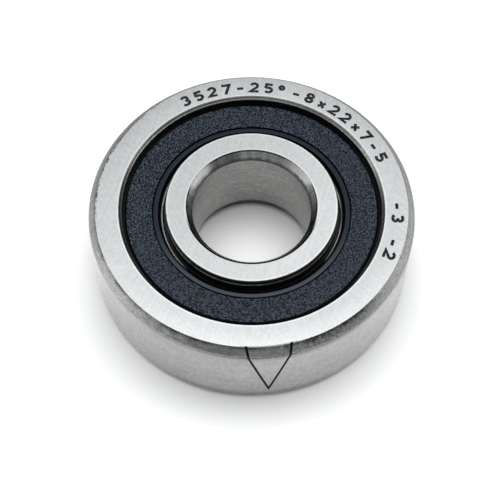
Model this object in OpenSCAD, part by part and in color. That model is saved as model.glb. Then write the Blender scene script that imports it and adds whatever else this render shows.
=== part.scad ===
// Sealed single-row angular contact ball bearing, 8 x 22 x 7 mm.
// Axis along Z, origin at the centre of the bearing. The inner ring takes
// axial load towards -Z, which is the way the V on the outside points.

/* [Boundary dimensions] */
// Bore diameter of the inner ring
bore_d = 8; // [7:0.5:8.5]
// Outside diameter of the outer ring
outer_d = 22; // [22:0.5:24]
// Width of both rings
width = 7; // [7:0.25:9]

/* [Rolling elements] */
// Ball diameter (7/64 inch)
ball_d = 2.778; // [2.7:0.002:2.79]
// Number of balls
ball_count = 13; // [9:1:13]
// Pitch circle diameter of the ball set
pitch_d = 15; // [14.9:0.05:15.1]
// Contact angle in degrees
contact_angle = 25; // [15:1:25]
// Raceway radius divided by ball diameter
conformity = 0.525; // [0.52:0.001:0.53]
// Gap left between a ball and each raceway at the contact point
ball_gap = 0.006; // [0.004:0.001:0.012]

/* [Outer ring] */
// Radius where the side faces end and the outside chamfer begins
face_edge_r = 10.48; // [10.4:0.01:10.6]
// Elevation of the chamfer's normal above the horizontal, in degrees
chamfer_tilt = 42; // [38:1:50]
// Radius that blends the chamfer into the outside diameter
chamfer_blend = 0.3; // [0.2:0.05:0.4]
// Radius where the side faces end at the mouth of the seal seat
mouth_r = 8.955; // [8.93:0.005:8.98]
// Radius of the side walls next to the seals, below the bevel of the mouth
outer_wall_r = 8.735; // [8.72:0.005:8.76]
// Radius of the high shoulder, on the -Z side of the raceway
outer_shoulder_r = 8.3; // [8.28:0.01:8.35]
// Radius of the low shoulder's snap lip, on the +Z side
outer_lip_r = 8.875; // [8.87:0.001:8.88]
// Radius at the bottom of the seal grooves
seal_groove_r = 9.32; // [9.28:0.01:9.4]

/* [Inner ring] */
// Outside radius of the seal lands
land_r = 5.84; // [5.8:0.01:5.88]
// Radius of the high shoulder, on the +Z side of the raceway
inner_shoulder_r = 6.68; // [6.6:0.01:6.7]
// Radius of the low shoulder's lip, on the -Z side
inner_lip_r = 6.125; // [6.12:0.001:6.13]
// Radial size of the bore chamfers
bore_chamfer_r = 0.43; // [0.3:0.01:0.45]
// Axial size of the bore chamfer on the +Z side
bore_chamfer_a = 0.7; // [0.5:0.05:0.8]
// Axial size of the bore chamfer on the -Z side
bore_chamfer_b = 1.1; // [0.5:0.05:1.15]

/* [Cage] */
// Inside radius of the cage
cage_in_r = 7; // [6.95:0.05:7.1]
// Outside radius, guided by the outer ring's high shoulder
cage_out_r = 8.21; // [8.15:0.01:8.25]
// Axial width of the cage
cage_w = 3.9; // [3.6:0.1:4]
// Pocket diameter
pocket_d = 2.9; // [2.86:0.01:2.94]

/* [Seals] */
// Depth of the seal's grained face below the ring faces, at its outside
seal_recess = 0.54; // [0.5:0.01:0.56]
// Thickness of the steel stiffener
stiffener_t = 0.24; // [0.2:0.01:0.26]
// Inside radius of the seal lip
lip_r = 5.97; // [5.95:0.01:6]

/* [Marking] */
// Depth of the etched marks
mark_depth = 0.04; // [0.03:0.01:0.06]
// Height of the etched figures
figure_h = 0.87; // [0.7:0.01:0.9]
// Stroke width of the etched figures
figure_w = 0.21; // [0.12:0.01:0.22]
// Line width of the V on the outside diameter
v_line_w = 0.16; // [0.1:0.01:0.18]
// Azimuth of the V's point, in degrees from -Y towards +X
v_azimuth = 6.4; // [0:0.1:90]

/* [Hidden] */
$fn = 96;
half_w = width / 2;                // the side faces are at z = +-half_w
outer_r = outer_d / 2;
bore_r = bore_d / 2;
pitch_r = pitch_d / 2;
ball_r = ball_d / 2;
ball_step = 360 / ball_count;

// Raceway groove, and the offset of its centre from the ball's along the contact line
race_r = conformity * ball_d;
race_off = race_r - ball_r - ball_gap;
race_shift = race_off * [cos(contact_angle), -sin(contact_angle)];
race_split = 0.05;                 // |z| where the shoulders change radius, inside the raceway
lip_z = 0.5;                       // |z| where the low shoulders begin to fall away

seat_depth = 1.2;                  // outer ring's seal seat, below the side face
shoulder_z = half_w - seat_depth;
step_z = half_w - 1.25;            // inner ring's step under the seal lip

// Axial length of the straight chamfer, and height of the blend arc's centre
straight_len = (outer_r - chamfer_blend * (1 - cos(chamfer_tilt)) - face_edge_r)
    / tan(chamfer_tilt);
blend_z = half_w - straight_len - chamfer_blend * sin(chamfer_tilt);

function ball_name(i) = str("ball_", i < 10 ? "0" : "", i);

// ---------- point lists; sections are in [r, z] ----------

// n + 1 points along an elliptical arc from angle a0 to a1.
function oval(centre, rx, ry, a0, a1, n) =
    [for (i = [0 : n]) let (a = a0 + (a1 - a0) * i / n) centre + [rx * cos(a), ry * sin(a)]];
function reversed(points) = [for (i = [len(points) - 1 : -1 : 0]) points[i]];
function mirrored(points) = [for (p = points) [p[0], -p[1]]];
// Continues an outline above z = 0 with its mirror image below.
function both_halves(points) = concat(points, reversed(mirrored(points)));
// Turns [r, depth below the +Z side face] into [r, z].
function below_face(points) = [for (p = points) [p[0], half_w - p[1]]];

// ---------- outer ring ----------

// Outside of the outer ring from the +Z face to the -Z face, moved inwards by inset.
function outside(inset = 0) = both_halves(concat(
    [[face_edge_r - inset / cos(chamfer_tilt), half_w]],
    oval([outer_r - chamfer_blend, blend_z], chamfer_blend - inset, chamfer_blend - inset,
         chamfer_tilt, 0, 7)));

// Side wall and seal groove, from the side face inwards: [r, depth].
outer_mouth = below_face([
    [mouth_r, 0], [mouth_r - 0.025, 0.012],
    [outer_wall_r + 0.012, 0.148], [outer_wall_r, 0.165],
    [outer_wall_r, 0.56], [outer_wall_r + 0.02, 0.585],
    [seal_groove_r - 0.05, 0.7], [seal_groove_r - 0.012, 0.725], [seal_groove_r, 0.77],
    [seal_groove_r, 1.13], [seal_groove_r - 0.02, 1.18], [seal_groove_r - 0.07, seat_depth]]);

// High shoulder on the -Z side, then snap lip and relieved shoulder on the +Z side: [r, z].
outer_shoulders = [
    [outer_shoulder_r + 0.05, -shoulder_z], [outer_shoulder_r, -shoulder_z + 0.05],
    [outer_shoulder_r, race_split], [outer_lip_r, race_split],
    [outer_lip_r, lip_z], [outer_lip_r + 0.04, shoulder_z - 0.04],
    [outer_lip_r + 0.08, shoulder_z]];

module outer_section() {
    difference() {
        polygon(concat(outside(), mirrored(outer_mouth), outer_shoulders, reversed(outer_mouth)));
        translate([pitch_r, 0] - race_shift)
            circle(race_r);
    }
}

module outer_ring() {
    color("silver") difference() {
        rotate_extrude() outer_section();
        rotate([0, 0, v_azimuth]) v_mark();
        translate([0, 0, half_w - mark_depth])
            linear_extrude(mark_depth + 0.1) face_figures();
    }
}

// ---------- inner ring ----------

// Bore chamfer, side face and land edge, from the bore outwards: [r, depth].
function inner_end(chamfer) = below_face([
    [bore_r, chamfer], [bore_r + 0.025, chamfer - 0.075],
    [bore_r + bore_chamfer_r - 0.03, 0.035], [bore_r + bore_chamfer_r, 0],
    [land_r - 0.09, 0], [land_r - 0.07, 0.008], [land_r, 0.09]]);

// From the +Z land over the high shoulder and the low one to the -Z land: [r, z].
inner_shoulders = [
    [land_r, step_z], [inner_shoulder_r - 0.06, step_z], [inner_shoulder_r, step_z - 0.06],
    [inner_shoulder_r, -race_split], [inner_lip_r, -race_split],
    [inner_lip_r, -lip_z], [inner_lip_r - 0.1, -step_z + 0.05],
    [inner_lip_r - 0.15, -step_z], [land_r, -step_z]];

module inner_section() {
    difference() {
        polygon(concat(inner_end(bore_chamfer_a), inner_shoulders,
                       reversed(mirrored(inner_end(bore_chamfer_b)))));
        translate([pitch_r, 0] + race_shift)
            circle(race_r);
    }
}

module inner_ring() {
    color("silver") rotate_extrude() inner_section();
}

// ---------- rolling elements and cage ----------

module ball(i) {
    color("dimgray")
        rotate([0, 0, (i - 1) * ball_step]) translate([pitch_r, 0, 0])
            rotate([0, contact_angle, 0]) sphere(ball_r);
}

cage_bevel = 0.1;
pocket_over = 1;                   // how far the pocket cutters pass the cage on each side

module cage() {
    color("peru") difference() {
        rotate_extrude() polygon(both_halves([
            [cage_in_r, cage_w / 2 - cage_bevel], [cage_in_r + cage_bevel, cage_w / 2],
            [cage_out_r - cage_bevel, cage_w / 2], [cage_out_r, cage_w / 2 - cage_bevel]]));
        for (i = [0 : ball_count - 1]) rotate([0, 0, i * ball_step])
            translate([cage_in_r - pocket_over, 0, 0]) rotate([0, 90, 0])
                cylinder(d = pocket_d, h = cage_out_r - cage_in_r + 2 * pocket_over);
    }
}

// ---------- seals, drawn on the +Z side ----------

stiffener_in_r = 6.5;
stiffener_out_r = 8.69;
stiffener_near = seal_recess + 0.34;             // depths of its two faces
stiffener_far = stiffener_near + stiffener_t;
rim_w = 0.13;                      // rubber's overlap on the far face, at the outside
hem_w = 0.12;                      // and at the inside
face_edge_round = 0.09;            // rounding of the grained face's outside edge

// Round the bead in the seal groove and up to the grained face: [r, depth].
rubber_bead = [
    [stiffener_out_r - rim_w, 1.19], [9.24, 1.19], [9.285, 1.165], [9.3, 1.12],
    [9.3, 0.79], [9.285, 0.755], [9.25, 0.74], [8.9, 0.65], [8.865, 0.648],
    [8.82, 0.668], [8.77, 0.72], [8.7, 0.765], [8.62, 0.78], [8.56, 0.765], [8.52, 0.72]];

// Across the grained face, inwards, and down to the lip: [r, depth below seal_recess].
rubber_face = concat(
    oval([8.4, face_edge_round], face_edge_round, face_edge_round, 0, -90, 6),
    [[6.735, 0.08], [6.719, 0.095], [6.712, 0.13], [6.706, 0.255], [6.69, 0.27],
     [6.665, 0.27], [6.65, 0.255], [6.643, 0.145], [6.62, 0.118], [6.55, 0.11],
     [6.4, 0.106], [6.34, 0.113], [6.31, 0.15], [6.294, 0.39], [6.26, 0.425],
     [6.18, 0.44], [6.04, 0.455], [5.995, 0.475], [lip_r, 0.51]]);

// Under the lip: [r, depth].
rubber_lip = [
    [lip_r, 1.13], [lip_r + 0.015, 1.165], [lip_r + 0.05, 1.18], [stiffener_in_r + hem_w, 1.18]];

// Bonded round the stiffener, whose far face stays bare in between: [r, depth].
rubber_bond = [
    [stiffener_in_r + hem_w, stiffener_far], [stiffener_in_r, stiffener_far],
    [stiffener_in_r, stiffener_near], [stiffener_out_r, stiffener_near],
    [stiffener_out_r, stiffener_far], [stiffener_out_r - rim_w, stiffener_far]];

module seal_rubber() {
    color("#23262b") rotate_extrude() polygon(below_face(concat(
        rubber_bead, [for (p = rubber_face) p + [0, seal_recess]], rubber_lip, rubber_bond)));
}

module seal_stiffener() {
    color("gray") rotate_extrude() polygon(below_face([
        [stiffener_in_r, stiffener_near], [stiffener_in_r, stiffener_far],
        [stiffener_out_r, stiffener_far], [stiffener_out_r, stiffener_near]]));
}

// ---------- strokes ----------

function unit(v) = v / norm(v);
// Unit normal, to the left, of the path's segment from point i to the next.
function normal(path, i) = let (d = unit(path[i + 1] - path[i])) [-d[1], d[0]];
// Offset of the outline's corner at point i, for a half width of one.
function mitre(path, i) =
    let (before = normal(path, max(i - 1, 0)),
         after = normal(path, min(i, len(path) - 2)),
         middle = unit(before + after))
    middle / max(0.4, middle * before);
// One side of an open path drawn with a pen that is widths[i] wide at point i.
function edge(path, widths, side) =
    [for (i = [0 : len(path) - 1]) path[i] + side * mitre(path, i) * widths[i] / 2];
function outline(path, widths) =
    concat(edge(path, widths, 1), reversed(edge(path, widths, -1)));

// ---------- V on the outside ----------

// The V shows which way axial load acts on the inner ring. It is drawn in the
// plane that touches the outside at -Y: [x, z].
v_over = 0.2;                      // how far the cut passes the side face
v_path = [[-1.5, half_w + v_over], [-1.46, half_w], [-1.321, blend_z - 0.03], [0, -2],
          [1.321, blend_z - 0.03], [1.46, half_w], [1.5, half_w + v_over]];
// Line weight at each point of the path
v_weights = [1.15, 1.15, 1, 1.25, 0.85, 1.1, 1.1];
v_slab_r = 9.4;                    // the drawing is extruded outwards from here
v_slab_t = 2.6;
floor_off = 0.5;                   // axis of the cut's floor, from the bearing's towards -Y
floor_in_r = 1;                    // inside radius of the body that leaves the floor

// Cuts the V mark_depth deep at -Y, with its floor turned about the shifted axis.
module v_mark() {
    difference() {
        translate([0, -v_slab_r, 0]) rotate([90, 0, 0])
            linear_extrude(v_slab_t) polygon(outline(v_path, v_weights * v_line_w));
        translate([0, -floor_off, 0]) rotate_extrude()
            polygon(concat(
                [[floor_in_r, -half_w], [floor_in_r, half_w + v_over],
                 [face_edge_r - floor_off - mark_depth / cos(chamfer_tilt)
                      - v_over * tan(chamfer_tilt), half_w + v_over]],
                [for (p = outside(mark_depth)) p - [floor_off, 0]]));
    }
}

// ---------- figures on the +Z face of the outer ring ----------

// Figures are drawn one unit high, with their foot on the x axis.
pen = figure_w / figure_h;
foot_y = pen / 2;                  // pen's centre line along the foot and the top
top_y = 1 - pen / 2;
figure_mid = 0.38;                 // x of a figure's middle

module pen_path(path) {
    polygon(outline(path, [for (p = path) pen]));
}

module pen_oval(centre, rx, ry) {
    n = 20;
    difference() {
        polygon(oval(centre, rx + pen / 2, ry + pen / 2, 0, 360 - 360 / n, n - 1));
        polygon(oval(centre, rx - pen / 2, ry - pen / 2, 0, 360 - 360 / n, n - 1));
    }
}

// "o" is the degree sign; a space draws nothing.
module figure(sign) {
    if (sign == "8") {
        pen_oval([figure_mid, 0.715], 0.235, 0.175);
        pen_oval([figure_mid, 0.29], 0.265, 0.18);
    }
    if (sign == "2")
        pen_path(concat(oval([0.37, 0.66], 0.26, 0.23, 168, -32, 10),
                        [[0.07, foot_y], [0.72, foot_y]]));
    if (sign == "7") pen_path([[0.03, top_y], [0.68, top_y], [0.27, 0]]);
    if (sign == "5") {
        pen_path([[0.67, top_y], [0.17, top_y], [0.14, 0.47]]);
        pen_path(oval([0.36, 0.335], 0.28, 0.225, 130, -145, 10));
    }
    if (sign == "3") {
        pen_path(oval([0.35, 0.69], 0.25, 0.2, 152, -90, 9));
        pen_path(oval([0.35, 0.31], 0.28, 0.2, 88, -152, 9));
    }
    if (sign == "x") {
        pen_path([[0.14, 0.1], [0.62, 0.62]]);
        pen_path([[0.14, 0.62], [0.62, 0.1]]);
    }
    if (sign == "-") pen_path([[0.12, 0.42], [0.62, 0.42]]);
    if (sign == "o") pen_oval([0.26, 0.72], 0.17, 0.16);
}

// Figures with their middle at radius r and tops outwards, clockwise from
// azimuth start, step degrees apart.
module figures(signs, r, start, step) {
    for (i = [0 : len(signs) - 1]) rotate([0, 0, start - i * step])
        translate([r - figure_h / 2, 0]) rotate(-90)
            translate([-figure_mid * figure_h, 0]) scale(figure_h) figure(signs[i]);
}

// Serial number, contact angle in degrees, size in millimetres and tolerance class,
// then the size deviations in micrometres.
module face_figures() {
    figures("3527-25o-8x22x7-5", r = 9.66, start = 119, step = 5.95);
    figures("-3 -2", r = 9.8, start = 0, step = 5.6);
}

// ---------- nodes ----------

outer_ring();
inner_ring();
cage();
seal_stiffener();  // top_seal_stiffener
seal_rubber();  // top_seal_rubber
mirror([0, 0, 1]) seal_stiffener();  // bottom_seal_stiffener
mirror([0, 0, 1]) seal_rubber();  // bottom_seal_rubber
for (i = [1 : ball_count])
    ball(i);
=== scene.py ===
"""A sealed deep-groove ball bearing, lying flat on a white floor with its axis along Z.

Its middle is at the origin and the camera looks down on it from the -Y side. Sizes are in mm
unless a comment says otherwise; MM turns them into metres.
"""

import math

import bpy
import numpy as np
from mathutils import Matrix, Vector


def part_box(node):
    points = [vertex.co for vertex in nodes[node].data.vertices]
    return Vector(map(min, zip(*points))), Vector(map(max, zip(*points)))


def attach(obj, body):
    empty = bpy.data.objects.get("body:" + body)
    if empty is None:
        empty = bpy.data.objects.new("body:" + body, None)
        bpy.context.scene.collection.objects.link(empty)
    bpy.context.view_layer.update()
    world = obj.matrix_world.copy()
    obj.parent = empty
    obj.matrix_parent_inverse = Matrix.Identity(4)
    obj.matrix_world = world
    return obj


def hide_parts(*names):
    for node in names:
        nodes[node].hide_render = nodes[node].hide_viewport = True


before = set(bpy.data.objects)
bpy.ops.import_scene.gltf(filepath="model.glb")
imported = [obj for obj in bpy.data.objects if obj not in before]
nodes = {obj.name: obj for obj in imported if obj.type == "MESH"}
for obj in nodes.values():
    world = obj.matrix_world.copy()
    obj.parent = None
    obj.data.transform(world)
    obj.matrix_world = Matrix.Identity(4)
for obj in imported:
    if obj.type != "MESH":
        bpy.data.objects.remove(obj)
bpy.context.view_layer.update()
MM = 0.001

ring_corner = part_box("outer_ring")[1]
seal_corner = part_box("top_seal_rubber")[1]
TOP = ring_corner.z / MM                 # height of the side faces
OUTER_R = ring_corner.x / MM
SEAL_R = seal_corner.x / MM              # outside of the seal's bead
SEAL_FACE = seal_corner.z / MM           # height of the seal's grained face
OUTER_FACE = (8.955, 10.48)              # radii between which each ring's side face is flat
INNER_FACE = (4.43, 5.75)


# ---------------------------------------------------------------- shader kit

def new_node(tree, kind, inputs=(), **props):
    """Adds a node; inputs is a run of values in socket order, or a dict by socket name or index."""
    node = tree.nodes.new(kind)
    for key, value in props.items():
        setattr(node, key, value)
    fill(node, inputs if isinstance(inputs, dict) else dict(enumerate(inputs)))
    return node


def fill(node, inputs):
    """Links or sets a node's inputs; None leaves one alone."""
    for key, value in inputs.items():
        if isinstance(value, Value):
            value.tree.links.new(value.socket, node.inputs[key])
        elif value is not None:
            node.inputs[key].default_value = value


def new_value(tree, kind, inputs=(), output=0, **props):
    return Value(tree, new_node(tree, kind, inputs, **props).outputs[output])


def operators(operation):
    """An operator and its reflected twin, which keep the operands in the order written."""
    def forward(a, b):
        return new_value(a.tree, "ShaderNodeMath", (a, b), operation=operation)

    def reflected(a, b):
        return new_value(a.tree, "ShaderNodeMath", (b, a), operation=operation)
    return forward, reflected


class Value:
    """A shader node's output. Arithmetic on it, and its methods, add the nodes they need."""

    def __init__(self, tree, socket):
        self.tree, self.socket = tree, socket

    __add__, __radd__ = operators("ADD")
    __sub__, __rsub__ = operators("SUBTRACT")
    __mul__, __rmul__ = operators("MULTIPLY")
    __truediv__, __rtruediv__ = operators("DIVIDE")
    __pow__, __rpow__ = operators("POWER")
    at_most = operators("MINIMUM")[0]
    at_least = operators("MAXIMUM")[0]

    def math(self, operation, *others):
        return new_value(self.tree, "ShaderNodeMath", (self, *others), operation=operation)

    def __abs__(self):
        return self.math("ABSOLUTE")

    def ramp(self, start, end, out=(0, 1), linear=False):
        """Goes from out[0] to out[1] as the value goes from start to end."""
        kind = "LINEAR" if linear else "SMOOTHSTEP"
        return new_value(self.tree, "ShaderNodeMapRange", (self, start, end, *out),
                         interpolation_type=kind, clamp=True)

    def fall(self, start, end):
        """1 below start, 0 above end."""
        return self.ramp(start, end, out=(1, 0))

    def band(self, low, high, soft):
        """1 between low and high, with soft edges."""
        return self.ramp(low - soft, low + soft) * self.fall(high - soft, high + soft)

    def mix(self, a, b):
        """a where this value is 0, b where it is 1."""
        return mix(self.tree, self, a, b)

    def mix_colour(self, a, b):
        a, b = (c if isinstance(c, Value) else (*c, 1) for c in (a, b))
        return new_value(self.tree, "ShaderNodeMix", {0: self, 6: a, 7: b}, 2, data_type="RGBA")

    def noise(self, scale=1, detail=2, rough=0.5):
        inputs = {"Vector": self, "Scale": scale, "Detail": detail, "Roughness": rough}
        return new_value(self.tree, "ShaderNodeTexNoise", inputs, noise_dimensions="3D")

    def lines(self, scale, detail, rough):
        """Noise along one coordinate, for tool marks."""
        inputs = {"W": self, "Scale": scale, "Detail": detail, "Roughness": rough}
        return new_value(self.tree, "ShaderNodeTexNoise", inputs, noise_dimensions="1D")

    def cells(self, scale):
        return new_value(self.tree, "ShaderNodeTexVoronoi", {"Vector": self, "Scale": scale})

    def look_up(self, stops):
        """Reads a table of (place, level); this value is the fraction of the way along it."""
        first, last = stops[0][0], stops[-1][0]
        top_level = 2                    # stored levels must stay below 1
        node = new_node(self.tree, "ShaderNodeValToRGB", (self,))
        elements = node.color_ramp.elements
        while len(elements) > 1:
            elements.remove(elements[0])
        for i, (place, level) in enumerate(stops):
            position = (place - first) / (last - first)
            stop = elements[0] if i == 0 else elements.new(position)
            stop.position = position
            stop.color = (*[level / top_level] * 3, 1)
        return Value(self.tree, node.outputs[0]) * top_level

    def bump(self, distance, normal=None):
        """A normal from this height; distance is in mm."""
        inputs = {"Strength": 1, "Distance": distance * MM, "Height": self, "Normal": normal}
        return new_value(self.tree, "ShaderNodeBump", inputs)


def mix(tree, factor, a, b):
    return new_value(tree, "ShaderNodeMix", {0: factor, 2: a, 3: b}, data_type="FLOAT")


def xyz(x, y, z):
    return new_value(x.tree, "ShaderNodeCombineXYZ", (x, y, z))


def split(vector):
    node = new_node(vector.tree, "ShaderNodeSeparateXYZ", (vector,))
    return [Value(vector.tree, socket) for socket in node.outputs]


def length(x, y):
    return (x * x + y * y).math("SQRT")


def cos_sin(degrees):
    return math.cos(math.radians(degrees)), math.sin(math.radians(degrees))


class Material:
    """A Principled material; pos is the object's own coordinates in mm."""

    def __init__(self, name):
        self.data = bpy.data.materials.new(name)
        self.data.use_nodes = True
        self.tree = self.data.node_tree
        self.tree.nodes.clear()
        out = new_node(self.tree, "ShaderNodeOutputMaterial")
        self.principled = new_node(self.tree, "ShaderNodeBsdfPrincipled")
        self.tree.links.new(self.principled.outputs[0], out.inputs["Surface"])
        place = new_value(self.tree, "ShaderNodeTexCoord", output="Object")
        self.pos = new_value(self.tree, "ShaderNodeVectorMath", {0: place, "Scale": 1 / MM},
                             operation="SCALE")

    def finish(self, inputs):
        fill(self.principled, inputs)
        return self.data


# ---------------------------------------------------------------- ring steel

class Steel(Material):
    """Ground and lapped bearing steel: the masks and textures that both rings share."""

    def __init__(self, name, face_in, face_out):
        super().__init__(name)
        self.face_in, self.face_out = face_in, face_out
        pos = self.pos
        self.x, self.y, self.z = x, y, z = split(pos)
        self.radius = radius = length(x, y)
        self.height = abs(z)
        self.depth = TOP - self.height               # below the nearer side face
        self.flat = self.depth.fall(0.004, 0.016)
        self.face = self.flat * radius.band(face_in - 0.008, face_out + 0.008, soft=0.010)
        self.other = 1 - self.face
        # Which way a point lies from the axis: the cosine and sine of its azimuth.
        self.dir_x, self.dir_y = x / radius, y / radius

        # Side faces: two crossing sets of very flat arcs from grinding, given by their centres,
        # and faint streaks across them from lapping.
        arcs_right = length(x - 46, y - 31).lines(scale=6, detail=5, rough=0.75)
        arcs_left = length(x - -58, y - 17).lines(scale=5, detail=5, rough=0.75)
        cross = arcs_right * 0.5 + arcs_left * 0.5
        streaks = xyz(self.dir_x * 52, self.dir_y * 52, radius * 0.7)
        across = streaks.noise(detail=4, rough=0.65)
        # Cylinders: fine lines round the axis, which fade in and out along the way.
        hoop = xyz(x * 0.30, y * 0.30, z * 11).noise(detail=5, rough=0.7)
        soft = pos.noise(scale=0.55, detail=3, rough=0.55)
        self.mottle_raw = pos.noise(scale=2.6, detail=4, rough=0.65)
        self.grit_raw = pos.noise(scale=9.5, detail=3, rough=0.65)
        # The same textures, centred on 0.
        self.cross, self.across, self.hoop = cross - 0.5, across - 0.5, hoop - 0.5
        soft, self.mottle, self.grit = soft - 0.5, self.mottle_raw - 0.5, self.grit_raw - 0.5

        face_tone = self.blend_tones(self.cross * 0.40, across=0.19, mottle=0.24, grit=0.26)
        self.round_tone = self.blend_tones(self.hoop * 0.75, across=0.16, mottle=0.50, grit=0.80)
        self.tone = self.face.mix(self.round_tone, face_tone) + soft * 0.12

    def blend_tones(self, marks, across, mottle, grit):
        return marks + self.across * across + (self.mottle * mottle + self.grit * grit)

    def toward(self, azimuth, start, end, out=(0, 1)):
        """A ramp on the cosine of the angle away from an azimuth in degrees."""
        cos, sin = cos_sin(azimuth)
        return (self.dir_x * cos + self.dir_y * sin).ramp(start, end, out)

    # A thin band round a radius, where a face's edge gets its painted highlight.
    def rim(self, middle):
        return abs(self.radius - middle).fall(0.03, 0.055)

    def surface(self, zones, painted_rim_highlight, nicks, chips):
        """Lays the zones (mask, reflectance, roughness) over each other, then the painted highlight
        along the faces' edges, then the wear.

        nicks makes the worn side's edge more nicked, chips is how dark its chips show.
        """
        pos, radius, face, face_out = self.pos, self.radius, self.face, self.face_out
        base, rough = STEEL_BASE, STEEL_ROUGH
        for mask, zone_base, zone_rough in zones:
            base = mix(self.tree, mask, base, zone_base)
            rough = mix(self.tree, mask, rough, zone_rough)
        value = base * (1 + self.tone)
        # Painted highlight: the faces are lighter along their edges.
        value = value * (1 + painted_rim_highlight * face * 0.22)
        # Faces a little cooler than the rest.
        colour = xyz(value * face.mix(1, 0.982), value, value * face.mix(0.978, 1.002))

        # The sharp outer edge is burnished, with small dull nicks, most of them on one side.
        edge = radius.band(face_out - 0.05, face_out + 0.03, soft=0.02)
        edge = edge * self.depth.fall(0.04, 0.10)
        worn = (self.dir_x * -0.93 + self.dir_y * 0.37).ramp(0.80, 0.98)
        nick = (pos.noise(scale=5.5, detail=3, rough=0.7) + worn * nicks).ramp(0.60, 0.66)
        ragged = radius + (pos.noise(scale=3, detail=3, rough=0.7) - 0.5) * 0.22
        chip = worn * ragged.band(face_out - 0.075, face_out - 0.012, soft=0.008)
        chip = chip * (self.flat * pos.noise(scale=2.2, detail=2, rough=0.5).ramp(0.42, 0.5))
        pit = face * pos.cells(scale=1.1).fall(0.022, 0.034)
        layers = ((edge * (nick * 0.8), 0.13),       # mask, grey
                  (chip * chips, 0.025),
                  (edge * ((1 - nick) * 0.25), 0.80),
                  (pit * 0.6, 0.10))
        for mask, grey in layers:
            colour = mask.mix_colour(colour, (grey,) * 3)

        rough = rough + rough * (self.mottle * 0.45 + self.cross * 0.45)
        return colour, rough + edge * (nick * 0.25)

    def finish_steel(self, colour, metal, rough, crown):
        """crown is the normal that the fine relief is added to."""
        relief = ((self.cross + self.across * 0.5) * self.face * 0.9
                  + (self.hoop * self.other * 1.3 + self.grit * 0.6))
        return self.finish({
            "Base Color": colour,
            "Metallic": metal,
            "Roughness": rough.at_least(0.05),
            "Tangent": new_value(self.tree, "ShaderNodeTangent", direction_type="RADIAL", axis="Z"),
            "Anisotropic": self.other * 0.45,
            "Normal": relief.bump(0.0016, crown)})


STEEL_BASE, STEEL_ROUGH = 0.43, 0.28                 # reflectance and roughness before the zones
FACE_ROUGH = 0.25

# Painted light and shade on the outer ring's tumbled chamfer: how bright it is round the ring,
# azimuth in degrees, level.
CHAMFER_PAINTED_LIGHT = (
    (-180, 0.56), (-170, 0.60), (-160, 0.76), (-150, 1.00), (-140, 1.08), (-130, 0.97),
    (-115, 1.00), (-100, 0.80), (-88, 0.98), (-72, 0.84), (-60, 0.64), (-48, 0.60), (-38, 0.70),
    (-28, 0.74), (-20, 0.72), (-10, 0.65), (0, 0.60), (10, 0.50), (20, 0.38), (30, 0.31),
    (45, 0.16), (60, 0.10), (140, 0.10), (155, 0.30), (165, 0.42), (180, 0.56))


def painted_shade_below_chamfer(steel):
    """Painted shade: the outside is darker for a little way below the chamfer, more so on one side.
    """
    depth, dir_x = steel.depth, steel.dir_x
    outside = steel.radius.ramp(OUTER_R - 0.09, OUTER_R - 0.04) * steel.z.ramp(0, 0.1)
    reach = dir_x.ramp(-0.45, 0.45, out=(0.90, 1.35)) + dir_x.ramp(0.82, 0.98, out=(0, 2.2))
    amount = (dir_x.ramp(-0.7, -0.1, out=(0.42, 0.55))
              + (dir_x.ramp(0.1, 0.7, out=(0, 0.08)) + dir_x.ramp(0.90, 0.975, out=(0, 0.20))))
    top_shade = outside * depth.fall(0.50, reach) * amount
    sector = dir_x.ramp(-0.78, -0.52) * dir_x.ramp(0, 0.4, out=(1, 0.25))
    return top_shade + outside * depth.ramp(0.50, 2.70, out=(0.13, 0)) * sector


def tumbled_chamfer(steel):
    """Reflectance: blotchy, with rust flecks towards -60 degrees, darker against the face except
    towards +X, and painted light and shade round the ring.
    """
    depth, dir_x, dir_y = steel.depth, steel.dir_x, steel.dir_y
    stain = xyz(dir_x * 3.2, dir_y * 3.2, 0).noise(detail=3, rough=0.6)
    stain = stain.ramp(0.38, 0.62, out=(0.35, 1)) * dir_x.ramp(0.62, 0.80, out=(1, 0.15))
    wander = depth + steel.grit * 0.22
    rusty = steel.toward(-60, 0.88, 0.985)
    shade = (stain * wander.fall(0.015, rusty.mix(0.28, 0.38))).mix(1, 0.12)
    # Painted light and shade: the level round the ring comes from the table above.
    azimuth = steel.y.math("ARCTAN2", steel.x).math("DEGREES")
    first, last = CHAMFER_PAINTED_LIGHT[0][0], CHAMFER_PAINTED_LIGHT[-1][0]
    uneven = ((azimuth - first) / (last - first)).look_up(CHAMFER_PAINTED_LIGHT)
    fleck = steel.pos.noise(scale=6.5, detail=3, rough=0.7) - depth * 0.22
    fleck = rusty * fleck.ramp(0.46, 0.56)
    blotch = 1 + (steel.grit * rusty.mix(1, 1.8) + steel.mottle * rusty.mix(0.6, 1))
    return 0.48 * uneven * (shade * (1 - fleck * 0.62)) * blotch.at_least(0.12)


def turned_bevel(steel):
    """Reflectance at the ring's mouth: a dark tool line between greyer lands, with painted light
    and shade, near black on the -Y side and lighter towards +Y.
    """
    dir_x, face_in = steel.dir_x, steel.face_in
    tool = steel.radius.band(face_in - 0.145, face_in - 0.075, soft=0.014)
    tool = tool * dir_x.ramp(-0.9, 0.75, out=(0.95, 0.45))
    lit = steel.dir_y.ramp(-0.45, 1, linear=True)
    lit = 0.015 + lit * lit * dir_x.ramp(-0.8, 0.8, out=(0.62, 0.86))
    return lit * tool.mix(1, 0.12) * (1 + (steel.hoop * 0.9 + steel.grit * 1.6)).at_least(0.2)


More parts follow.
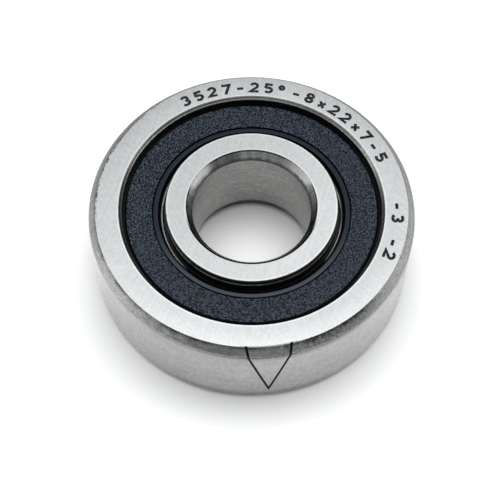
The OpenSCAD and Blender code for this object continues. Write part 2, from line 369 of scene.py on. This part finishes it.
def outside_painted_light(steel):
    """Painted light and shade on the outside: a touch brighter towards the two sides, most towards
    -X, and painted shade at the foot on the -Y side.
    """
    dir_x = steel.dir_x
    fourth_power = dir_x * dir_x * (dir_x * dir_x)
    level = 0.955 + fourth_power * (0.28 + dir_x * -0.02) + dir_x.fall(-0.99, -0.84) * 0.42
    foot = steel.z.fall(-2.7, -2.2) * steel.dir_y.fall(-0.98, -0.72)
    return level * (1 - foot * 0.34)


def etched_figures(steel):
    """Mask of the etched figures, whose floor lies below the face."""
    return (steel.z.band(TOP - 0.075, TOP - 0.006, soft=0.003)
            * steel.radius.band(steel.face_in + 0.04, steel.face_out - 0.04, soft=0.01))


def etched_vee(steel):
    """Mask of the V on the -Y side, whose floor lies below the outside and the chamfer."""
    x, y, z, radius, face_out = steel.x, steel.y, steel.z, steel.radius, steel.face_out
    cos, sin = cos_sin(42)                           # normal of the chamfer, above the radial
    below = (OUTER_R - radius).at_most((face_out - radius) * cos + (TOP - z) * sin)
    cut = below.ramp(0.014, 0.020)
    cut = cut * (radius.ramp(face_out - 0.06, face_out - 0.03) * z.ramp(-2.6, -2.5))
    cut = cut * (x.band(-0.7, 3.0, soft=0.02) * y.fall(-9.0, -8.9))
    # Two inked legs, mirrored about the V's middle; their slope changes near the chamfer.
    cos, sin = cos_sin(6.4)                          # turn of the V round the axis
    along = abs(x * cos + y * sin)
    leg = ((z + 2.0) * 0.2765).at_most(1.321 + (z - 2.777) * 0.192)
    ink = abs((along - leg) * 0.9638).fall(0.074, 0.090)
    ink = ink * (z.ramp(-2.14, -2.06) * y.fall(-9.0, -8.9) * radius.ramp(face_out - 0.03, face_out))
    return cut.at_least(ink)


def outer_steel():
    steel = Steel("bearing_steel_outer", *OUTER_FACE)
    radius, depth, dir_y = steel.radius, steel.depth, steel.dir_y
    face_in, face_out = OUTER_FACE
    chamfer = (radius.ramp(face_out - 0.02, face_out + 0.02)
               * (depth + steel.grit * 0.12).fall(0.46, 0.66))
    bevel = radius.fall(face_in - 0.012, face_in + 0.004) * depth.fall(0.20, 0.26)
    # Painted light on the face: a little lighter towards +Y and darker towards -42 degrees.
    face_level_painted = (0.62 * dir_y.ramp(0.55, 1, out=(1, 1.07))
                  * steel.toward(-42, 0.55, 1, out=(1, 0.93)))
    zones = (                                        # mask, reflectance, roughness
        (1, STEEL_BASE * outside_painted_light(steel) * (1 - painted_shade_below_chamfer(steel)), STEEL_ROUGH),
        (chamfer, tumbled_chamfer(steel), 0.40 + steel.mottle * 0.3),
        (bevel, turned_bevel(steel), 0.17),
        (steel.face, face_level_painted, FACE_ROUGH))
    metal = 1 - chamfer * dir_y.ramp(0.45, 0.80)
    painted_rim_highlight = steel.rim(face_in + 0.055)
    colour, rough = steel.surface(zones, painted_rim_highlight, nicks=0.13, chips=0.9)

    figures, vee = etched_figures(steel), etched_vee(steel)
    # Painted shade: the etched floors darken towards their walls, as ambient occlusion gives.
    occlusion = new_value(steel.tree, "ShaderNodeAmbientOcclusion", {"Distance": 0.07 * MM}, "AO",
                          samples=8, only_local=True)
    core = occlusion.ramp(0.55, 0.86) * steel.grit_raw.ramp(0.45, 0.6)
    etched = core.mix_colour((0.003, 0.003, 0.004), (0.10, 0.10, 0.11))
    colour = figures.mix_colour(colour, etched)
    colour = vee.mix_colour(colour, (0.003, 0.003, 0.003))
    marks = figures.at_least(vee)
    rough = marks.mix(rough, 0.62)
    fill(steel.principled,
         {"Specular IOR Level": marks.at_least(1 - metal).mix(0.5, 0.15)})
    metal = metal * (1 - marks * 0.9)
    # The ground faces roll off slightly towards the outside edge.
    roll = radius.ramp(9.35, face_out + 0.05, linear=True)
    crown = (roll * roll * (steel.flat * -1)).bump(0.030)
    return steel.finish_steel(colour, metal, rough, crown)


def bore_chamfer(steel, chamfer, near):
    """Reflectance and hump of the bore's chamfer: streaked down its slope, with a stained patch,
    darker along its top edge, two painted highlights that the hump tilts up, and painted light and
    shade that stay with the room."""
    radius, face_in, z = steel.radius, steel.face_in, steel.z
    dir_x, dir_y = steel.dir_x, steel.dir_y
    slope = radius.ramp(face_in - 0.40, face_in - 0.02, linear=True)
    streak = xyz(dir_x * 13, dir_y * 13, radius * 0.5).noise(detail=3, rough=0.6)
    wide = xyz(dir_x * 3.5, dir_y * 3.5, 4).noise(detail=2, rough=0.5)
    # Two painted highlights, at fixed azimuths round the ring.
    patch = steel.toward(40, 0.935, 0.985).at_least(steel.toward(147, 0.945, 0.99) * 0.9)
    painted_highlight = patch * ((slope + (wide - 0.5) * 0.5).ramp(0.20, 0.75)
                        * streak.ramp(0.25, 0.55, out=(0.82, 1)))
    stained = steel.toward(117, 0.94, 0.985) * 0.55
    foot = (slope + (streak - 0.5) * 0.5).ramp(0.02, 0.30, out=(0.45, 1))
    rim = 1 - slope.ramp(0.80, 0.92) * ((1 - painted_highlight) * 0.85)
    texture = 1 + ((streak - 0.5) * 1.1 + steel.round_tone * 0.5)
    # Painted light and shade: near black on the -Y side of the room, lighter towards +Y.
    level = near.ramp(-0.35, 0.30, out=(0.02, 0.78)) * (foot * rim) * ((1 - stained) * texture)
    # Painted shadow at the foot: the lower chamfer is darker, most on the +Y side of the room.
    under = z.ramp(-2.5, -2.3, out=(near.ramp(0.66, 0.98, out=(0.40, 0.05)), 1))
    hump = patch * (slope * slope) * (chamfer * z.ramp(0, 0.1))
    painted_highlight = painted_highlight * (chamfer * z.ramp(0, 0.1))
    return painted_highlight.mix(level.at_least(0.004), 0.62) * under, hump


def inner_steel():
    steel = Steel("bearing_steel_inner", *INNER_FACE)
    radius, depth, dir_x, z = steel.radius, steel.depth, steel.dir_x, steel.z
    face_in, face_out = INNER_FACE
    # How far towards +Y a point lies in the room: this stays put when the ring turns, so the
    # painted light and shade that it places stay with the room.
    room = new_value(steel.tree, "ShaderNodeNewGeometry", output="Position")
    near = split(room)[1] * (1 / MM) / radius

    bore = radius.fall(face_in - 0.41, face_in - 0.38)
    chamfer = (1 - bore) * radius.fall(face_in - 0.01, face_in + 0.01) * depth.fall(1.2, 1.3)
    land = radius.ramp(face_out - 0.002, face_out + 0.014) * steel.height.ramp(1.6, 1.8)
    # The bore is a little lighter towards ±X, and painted shadow darkens its foot.
    bore_level_painted = (abs(dir_x).ramp(0.2, 0.85, out=(0.295, 0.365)) * (1 + steel.round_tone * 0.6)
                  * z.ramp(-2.41, -2.33, out=(0.35, 1)))
    chamfer_level, hump = bore_chamfer(steel, chamfer, near)
    # Painted shade: the seal land is black, but for one grey line round it, lighter towards -X.
    line = depth.band(0.36, 0.52, soft=0.05)
    grey_line_level = dir_x.ramp(-0.2, 0.5, out=(0.56, 0.38)) * steel.mottle_raw.ramp(0.35, 0.6, out=(0.4, 1))
    # Painted shade: on the -Y side of the room the face is dark in a thin ring next to the bore.
    painted_edge_shade = radius.fall(face_in + 0.078, face_in + 0.094) * near.fall(-0.45, -0.15)
    # Painted light on the face: a little lighter towards +X.
    face_level_painted = dir_x.ramp(-1, 1, out=(0.59, 0.65), linear=True) * (1 - painted_edge_shade * 0.995)
    zones = (                                        # mask, reflectance, roughness
        (bore, bore_level_painted, 0.36),
        (chamfer, chamfer_level, 0.38 + steel.mottle * 0.2),
        (land, line.mix(0.004, grey_line_level), 0.5),
        (steel.face, face_level_painted, FACE_ROUGH))
    painted_rim_highlight = steel.rim(face_in + 0.055).at_least(steel.rim(face_out - 0.05))
    colour, rough = steel.surface(zones, painted_rim_highlight, nicks=0, chips=0)
    # The bump under the painted highlights leans them a little more upwards than the chamfer does.
    crown = (hump * -1).bump(0.085)
    return steel.finish_steel(colour, 1 - land, rough, crown)


# ---------------------------------------------------------------- other materials

def seal_rubber():
    """Moulded nitrile: blue-black, a coarse spark-eroded grain on the face, smooth elsewhere."""
    mat = Material("nitrile_rubber")
    pos = mat.pos
    x, y, z = split(pos)
    radius, height = length(x, y), abs(z)
    depth = TOP - height
    dir_x, dir_y = x / radius, y / radius
    grained = (radius.band(6.735, 8.46, soft=0.015)
               * height.ramp(SEAL_FACE - 0.17, SEAL_FACE - 0.13))
    band = radius.band(6.305, 6.64, soft=0.008) * depth.fall(0.69, 0.72)
    # Painted highlight on the lip's edge: on the -X side and, less evenly, on the +X side.
    painted_highlight_right = dir_x.ramp(0.78, 0.90) * dir_x.ramp(0.975, 0.999, out=(0.85, 0.30))
    lip = (radius.band(6.042, 6.122, soft=0.012) * depth.ramp(0.96, 0.99)
           * dir_x.fall(-0.84, -0.68).at_least(painted_highlight_right))

    fine = pos.noise(scale=10, detail=2, rough=0.6)
    grit = pos.noise(scale=11, detail=1, rough=0.5).ramp(0.57, 0.67, linear=True)
    coarse = pos.noise(scale=5, detail=1, rough=0.5)
    bloom = pos.noise(scale=0.75, detail=4, rough=0.6)
    hue = pos.noise(scale=0.55, detail=2, rough=0.5).ramp(0.42, 0.58)
    blunt = dir_y.ramp(-0.92, -0.55, out=(0.38, 0.15))
    spark = (fine * (1 - blunt) + coarse * blunt).ramp(0.45, 0.635, linear=True)
    spark = (spark * 0.95 + grit * 1.3).at_most(1)
    # The grain catches more light away from the -Y side.
    lively = dir_y.ramp(-0.75, -0.10) * dir_x.ramp(0.40, 0.85, out=(1, 0.3))
    spark = lively.mix(spark, spark ** 1.9)

    # Off the grained face the rubber is near black: black nitrile, painted darker still as shade
    # where it lies in the moat and round the lip.
    dark = bloom.mix_colour((0.0020, 0.0024, 0.0034), (0.0040, 0.0048, 0.0066))
    low = hue.mix_colour((0, 0, 0.002), (0, 0, 0.002))
    high = hue.mix_colour((0.080, 0.108, 0.138), (0.089, 0.107, 0.156))
    bright = hue.mix_colour((0.106, 0.149, 0.200), (0.117, 0.147, 0.224))
    grain = spark.mix_colour(low, lively.mix_colour(high, bright))
    colour = grained.mix_colour(dark, grain)
    sheen = bloom.mix_colour((0.008, 0.010, 0.022), (0.014, 0.018, 0.036))
    colour = (band * 0.9).mix_colour(colour, sheen)
    # Painted highlight: the lip's edge is painted light grey there.
    painted_lip_highlight = lip * bloom.ramp(0.3, 0.6, out=(0.6, 1))
    colour = painted_lip_highlight.mix_colour(colour, (0.90, 0.90, 0.91))

    rough = grained.mix(0.30 + (bloom - 0.5) * 0.2, 0.46 + (fine - 0.5) * 0.5)
    relief = ((fine * 0.6 + coarse * 0.8) * grained
              + pos.noise(scale=6) * 0.08 * (1 - grained))
    return mat.finish({
        "Base Color": colour,
        "Metallic": 0,
        "Specular IOR Level": band.mix(grained.mix(0.10, 0.16),
                                       dir_y.ramp(-0.75, -0.15, out=(0.66, 0.29))),
        "Specular Tint": band.mix_colour((1, 1, 1), (0.84, 0.92, 1)),
        "Roughness": band.mix(rough, 0.20 + (bloom - 0.5) * 0.15),
        "Normal": relief.bump(0.030)})


def sheet_steel():
    """Cold-rolled stiffener: rolling lines along X, with faint phosphate mottling."""
    mat = Material("cold_rolled_sheet")
    x, y, z = split(mat.pos)
    roll = xyz(x * 0.4, y * 14, z).noise(detail=4, rough=0.6)
    spot = mat.pos.noise(scale=1.6, detail=4, rough=0.65)
    value = 0.46 + ((roll - 0.5) * 0.22 + (spot - 0.5) * 0.16)
    return mat.finish({
        "Base Color": xyz(value, value * 0.99, value * 0.97),
        "Metallic": 1,
        "Roughness": 0.36 + (spot - 0.5) * 0.25,
        "Normal": roll.bump(0.002)})


def phenolic():
    """Cotton-fabric phenolic: woven show-through under turning marks, darker cut edges."""
    mat = Material("fabric_phenolic")
    x, y, z = split(mat.pos)
    threads = 21                                     # radians of weave per mm
    warp = ((x * 1 + z * 0.25) * threads).math("SINE")
    weft = ((y * 1 + z * -0.2) * threads).math("SINE")
    weave = (warp * weft).math("MULTIPLY_ADD", 0.5, 0.5)
    thread = weave * mat.pos.noise(scale=9, detail=3, rough=0.6)
    cloud = mat.pos.noise(scale=0.9, detail=4, rough=0.6)
    colour = cloud.mix_colour((0.30, 0.145, 0.045), (0.46, 0.245, 0.085))
    colour = (thread * 0.75).mix_colour(colour, (0.62, 0.40, 0.18))
    edge = abs(z).ramp(1.86, 1.94).at_least(length(x, y).band(8.12, 8.3, soft=0.03))
    colour = (edge * 0.35).mix_colour(colour, (0.16, 0.075, 0.03))
    turned = xyz(x * 0.5, y * 0.5, z * 22).noise(detail=3, rough=0.6)
    return mat.finish({
        "Base Color": colour,
        "Roughness": 0.42 + thread * 0.3,
        "Normal": (turned * 0.5 + weave * 0.5).bump(0.006)})


def nitride():
    """Polished silicon nitride: near black, with the faint pale flakes of the sintered body."""
    mat = Material("silicon_nitride")
    flake = mat.pos.cells(scale=7).fall(0.05, 0.45)
    cloud = mat.pos.noise(scale=2.2, detail=5, rough=0.65)
    colour = cloud.mix_colour((0.030, 0.031, 0.034), (0.060, 0.062, 0.066))
    return mat.finish({
        "Base Color": (flake * 0.16).mix_colour(colour, (0.22, 0.22, 0.22)),
        "IOR": 2,
        "Roughness": 0.06 + cloud * 0.06,
        "Normal": mat.pos.noise(scale=12, detail=3).bump(0.0003)})


def floor_white():
    mat = Material("floor_white")
    white = 0.86
    tone = mat.pos.noise(scale=0.02, detail=3, rough=0.5)
    return mat.finish({
        "Base Color": tone.mix_colour((white * 0.985,) * 3, (white,) * 3),
        "Roughness": 0.6})


def assign(obj, mat):
    if not obj.data.materials:
        obj.data.materials.append(mat)
    for slot in obj.material_slots:
        slot.material = mat


assign(nodes["outer_ring"], outer_steel())
assign(nodes["inner_ring"], inner_steel())
assign(nodes["cage"], phenolic())
plate = sheet_steel()
for name in ("top_seal_stiffener", "bottom_seal_stiffener"):
    assign(nodes[name], plate)
ball = nitride()
for name in sorted(nodes):
    if name.startswith("ball_"):
        assign(nodes[name], ball)


# ---------------------------------------------------------------- moulded seals

SEAL_SEGMENTS = 960
FACE_STEPS = 33                          # steps across the grained face
FACE_DEPTH = TOP - SEAL_FACE             # depths are below the side face
FACE_IN = 6.73                           # inner radius of the grained face


def fillet(rows, steps):
    """Rounds the corners of an open run of (radius, depth, corner radius); 0 keeps one sharp."""
    points = [np.array(row[:2], float) for row in rows]
    out = []
    for i, (point, row) in enumerate(zip(points, rows)):
        if row[2] <= 0 or i in (0, len(points) - 1):
            out.append(tuple(row[:2]))
            continue
        back, ahead = points[i - 1] - point, points[i + 1] - point
        back_len, ahead_len = np.linalg.norm(back), np.linalg.norm(ahead)
        back, ahead = back / back_len, ahead / ahead_len
        half = math.acos(max(-1.0, min(1.0, float(back @ ahead)))) / 2
        reach = min(row[2] / math.tan(half), 0.45 * back_len, 0.45 * ahead_len)
        start, end = point + back * reach, point + ahead * reach
        for k in range(steps + 1):
            t = k / steps
            out.append(tuple((1 - t) ** 2 * start + 2 * t * (1 - t) * point + t ** 2 * end))
    return out


def seal_profile():
    """The closed section as (radius, depth) points, and the place of the grained face in it."""
    face = FACE_DEPTH
    bead = fillet([                      # radius, depth, corner radius
        (8.56, 1.19, 0), (SEAL_R, 1.19, 0.06), (SEAL_R, 0.74, 0.06), (8.88, 0.64, 0.06),
        (8.72, 0.82, 0.09), (8.535, 0.82, 0.06), (8.50, face + 0.05, 0)], steps=4)
    round_r = 0.095                      # shoulder between moat and face
    shoulder = []
    for i in range(7):
        cos, sin = cos_sin(-90 * i / 6)
        shoulder.append((8.405 + round_r * cos, face + round_r + round_r * sin))
    face_out, slope = shoulder[-1][0], 0.08          # the face slopes down to the groove
    grained = [(face_out + (FACE_IN - face_out) * i / FACE_STEPS,
                face + (face + slope - face) * i / FACE_STEPS) for i in range(1, FACE_STEPS)]
    inner = fillet([                     # groove, band and lip
        (FACE_IN, face + slope, 0), (6.713, face + 0.095, 0.015), (6.706, face + 0.27, 0.02),
        (6.652, face + 0.27, 0.02), (6.643, face + 0.13, 0.02), (6.60, face + 0.112, 0.05),
        (6.38, face + 0.105, 0.05), (6.315, face + 0.12, 0.03), (6.29, face + 0.48, 0.04),
        (6.18, face + 0.53, 0.04), (6.03, face + 0.54, 0.04), (5.97, face + 0.58, 0.03),
        (5.97, 1.18, 0.03), (6.62, 1.18, 0)], steps=3)
    shallow, deep = face + 0.34, face + 0.58         # depths of the back's step
    back = [(6.62, deep), (6.5, deep), (6.5, shallow), (8.69, shallow), (8.69, deep), (8.56, deep)]
    return bead + shoulder + grained + inner + back, len(bead) + len(shoulder)


def periodic_noise(rng, rows, cols, sigma):
    """Smooth noise on a grid, periodic round the seal, with unit spread."""
    field = rng.standard_normal((rows, cols))
    freq = np.fft.fftfreq(rows)[:, None] ** 2 + np.fft.fftfreq(cols)[None, :] ** 2
    blur = np.exp(-2 * (math.pi * sigma) ** 2 * freq)
    field = np.real(np.fft.ifft2(np.fft.fft2(field) * blur))
    return field / field.std()


def seal_piece(name, sign, seed):
    """One seal's rubber, turned round the axis as one closed mesh; sign -1 is the lower one."""
    profile, first = seal_profile()
    radius = np.array([point[0] for point in profile])
    height = TOP - np.array([point[1] for point in profile])
    heights = np.repeat(height[:, None], SEAL_SEGMENTS, 1)

    # Grain: pillowed bumps with finer grit, faded out at the face's edges.
    rng = np.random.default_rng(seed)
    rows = FACE_STEPS + 7
    coarse, fine, wave = (periodic_noise(rng, rows, SEAL_SEGMENTS, sigma)
                          for sigma in (1.15, 0.55, 9.0))
    grain = 0.0085 * np.tanh(coarse * 0.9) + 0.0035 * fine + 0.002 * wave
    span = slice(first - 3, first - 3 + rows)
    fade = (np.clip((radius[span] - FACE_IN + 0.01) / 0.05, 0, 1)
            * np.clip((8.47 - radius[span]) / 0.06, 0, 1))
    heights[span] += fade[:, None] * np.clip(grain - 0.010, -0.034, -0.0005)

    # The lip and the band are never quite true.
    angle = np.arange(SEAL_SEGMENTS) * 2 * math.pi / SEAL_SEGMENTS
    runout = 0.006 * np.sin(2 * angle + seed) + 0.003 * np.sin(5 * angle + 2.0 * seed)
    uneven = ((radius > 6.0) & (radius < 6.66) & (height > TOP - 1.1))[:, None]
    heights = heights + np.where(uneven, runout[None, :] - 0.009, 0)

    across = radius[:, None]
    verts = np.stack([across * np.cos(angle), across * np.sin(angle), sign * heights], -1)
    verts = verts.reshape(-1, 3) * MM
    here = np.arange(len(verts)).reshape(heights.shape)
    beside = np.roll(here, -1, axis=1)
    after = np.roll(here, -1, axis=0)
    diagonal = np.roll(after, -1, axis=1)
    loop = [here, beside, diagonal, after] if sign < 0 else [here, after, diagonal, beside]
    quads = np.stack(loop, -1).reshape(-1, 4)
    mesh = bpy.data.meshes.new(name)
    mesh.from_pydata(verts.tolist(), [], quads.tolist())
    mesh.update()
    mesh.shade_smooth()
    obj = bpy.data.objects.new(name, mesh)
    bpy.context.scene.collection.objects.link(obj)
    return obj


rubber = seal_rubber()
for side, sign, seed in (("top", 1, 11), ("bottom", -1, 23)):
    piece = seal_piece(side + "_seal_moulding", sign, seed)
    piece.data.materials.append(rubber)
    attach(piece, "outer")
    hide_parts(side + "_seal_rubber")


# ---------------------------------------------------------------- stage, light, camera

# Brightness of the sky by the angle in the plane of the camera and the axis, in degrees: 0 at
# the back (+Y), 90 overhead, 180 at the camera's side. A white sweep stands behind, the soft
# box hangs high at the back, and it is dark round the camera.
SKY = (
    (0, 1.50), (20, 1.30), (36, 0.78), (46, 0.62), (52, 0.74), (57, 0.95), (62, 1.20), (67, 1.55),
    (72, 1.95), (77, 2.00), (82, 1.45), (88, 0.80), (95, 0.45), (112, 0.30), (135, 0.22),
    (152, 0.22), (166, 0.24), (180, 0.32))


def make_floor():
    half, z = 0.6, -TOP * MM             # metres
    mesh = bpy.data.meshes.new("floor")
    corners = [(-half, -half, z), (half, -half, z), (half, half, z), (-half, half, z)]
    mesh.from_pydata(corners, [], [(0, 1, 2, 3)])
    floor = bpy.data.objects.new("floor", mesh)
    bpy.context.scene.collection.objects.link(floor)
    floor.data.materials.append(floor_white())
    return floor


def make_sky():
    world = bpy.data.worlds.new("studio")
    bpy.context.scene.world = world
    world.use_nodes = True
    tree = world.node_tree
    tree.nodes.clear()
    out = new_node(tree, "ShaderNodeOutputWorld")
    background = new_node(tree, "ShaderNodeBackground")
    tree.links.new(background.outputs[0], out.inputs["Surface"])
    x, y, z = split(new_value(tree, "ShaderNodeTexCoord", output="Generated"))
    angle = z.math("ARCTAN2", y).math("DEGREES")
    level = (angle / 180).look_up(SKY) * x.ramp(-0.3, 0.3, out=(0.87, 1.10), linear=True)
    level = abs(x).ramp(0.72, 0.97).mix(level, 1.10)     # even light from both sides
    fill(background, {"Color": xyz(level * 0.985, level, level * 1.004), "Strength": 1})


def light_floor(floor):
    """A round overhead light that whitens the floor only."""
    lamp = bpy.data.lights.new("floor_light", "AREA")
    lamp.shape = "DISK"
    lamp.size = 0.62                     # metres
    lamp.energy = 3.1                    # watts
    overhead = bpy.data.objects.new("floor_light", lamp)
    overhead.location = (0, 0.04, 0.60)
    overhead.rotation_euler = (math.radians(-3.8), 0, 0)
    bpy.context.scene.collection.objects.link(overhead)
    receivers = bpy.data.collections.new("lit_by_floor_light")
    receivers.objects.link(floor)
    overhead.light_linking.receiver_collection = receivers


def make_camera():
    elevation, distance = math.radians(59.062), 91.087
    aim_z = 3.5
    eye = Vector((-0.032, -math.cos(elevation) * distance + 0.025,
                  math.sin(elevation) * distance + aim_z))
    aim = Vector((-0.0892, -3.4475, aim_z))
    ahead = (aim - eye).normalized()
    right = ahead.cross(Vector((0, 0, 1))).normalized()
    up = right.cross(ahead)
    roll = 0.0073243                     # radians
    right, up = (right * math.cos(roll) + up * math.sin(roll),
                 up * math.cos(roll) - right * math.sin(roll))
    lens = bpy.data.cameras.new("camera")
    lens.sensor_width = 36.0
    lens.lens = 97.7292
    lens.clip_start = 0.002              # metres
    lens.clip_end = 10.0
    camera = bpy.data.objects.new("camera", lens)
    bpy.context.scene.collection.objects.link(camera)
    rows = [(right[i], up[i], -ahead[i], eye[i] * MM) for i in range(3)]
    camera.matrix_world = Matrix((*rows, (0, 0, 0, 1)))
    bpy.context.scene.camera = camera


floor = make_floor()
make_sky()
light_floor(floor)
make_camera()
bpy.context.scene.view_settings.view_transform = "Standard"
bpy.context.scene.view_settings.look = "None"
